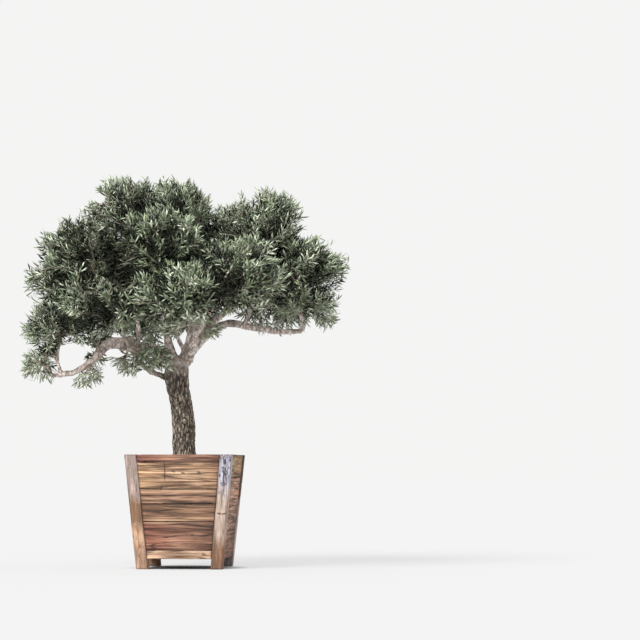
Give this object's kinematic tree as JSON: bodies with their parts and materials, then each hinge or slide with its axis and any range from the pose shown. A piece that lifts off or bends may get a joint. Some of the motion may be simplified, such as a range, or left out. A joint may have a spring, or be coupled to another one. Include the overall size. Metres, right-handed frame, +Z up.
{
  "type": "potted olive tree",
  "caption": "Small olive tree with a leaning trunk, spreading boughs and a rounded crown of grey-green leaves, in a tapered wooden planter box.",
  "frame": {"origin": "on the ground, at the middle of the whole tree's outline, which is also the middle of the planter", "axes": "+Z up; the front of the tree, with its bare left bough, faces -Y, and the planter's sides lie along X and Y"},
  "size_m": [1.7647, 1.5171, 2.0684],
  "materials": {
    "boards": "weathered bare boards, light and dark brown, dry and split",
    "posts": "weathered posts with worn grey and pinkish paint",
    "soil": "dark crumbly soil",
    "trunk_bark": "dark grey-brown bark in upright fissured scales",
    "bough_bark": "smoother pale grey-brown bark",
    "leaves": "grey-green leaves, silvery below, slightly waxy"
  },
  "bodies": {
    "root": {"board_back_1": "boards", "board_back_2": "boards", "board_back_3": "boards", "board_back_4": "boards", "board_front_1": "boards", "board_front_2": "boards", "board_front_3": "boards", "board_front_4": "boards", "board_front_5": "boards", "board_front_6": "boards", "board_left_1": "boards", "board_left_2": "boards", "board_left_3": "boards", "board_left_4": "boards", "board_right_1": "boards", "board_right_2": "boards", "board_right_3": "boards", "board_right_4": "boards", "bough_back_left": "bough_bark", "bough_back_right": "bough_bark", "bough_centre_left": "bough_bark", "bough_centre_right": "bough_bark", "bough_front_right": "bough_bark", "bough_left": "bough_bark", "bough_left_hook": "bough_bark", "bough_left_riser": "bough_bark", "bough_left_tip": "bough_bark", "bough_left_upturn": "bough_bark", "bough_low_left": "bough_bark", "bough_right": "bough_bark", "bough_right_riser": "bough_bark", "bough_right_upturn": "bough_bark", "floor_board": "boards", "foliage_back": "leaves", "foliage_back_high": "leaves", "foliage_back_left": "leaves", "foliage_back_right": "leaves", "foliage_front_high": "leaves", "foliage_front_left": "leaves", "foliage_front_low": "leaves", "foliage_front_right": "leaves", "foliage_front_spray": "leaves", "foliage_left_hanging": "leaves", "foliage_left_high": "leaves", "foliage_left_low": "leaves", "foliage_left_mid": "leaves", "foliage_left_tip": "leaves", "foliage_middle": "leaves", "foliage_right_high": "leaves", "foliage_right_low": "leaves", "foliage_right_mid": "leaves", "foliage_top_back": "leaves", "foliage_top_left": "leaves", "foliage_top_right": "leaves", "post_back_left": "posts", "post_back_right": "posts", "post_front_left": "posts", "post_front_right": "posts", "soil": "soil", "trunk": "trunk_bark"}
  },
  "joints": []
}
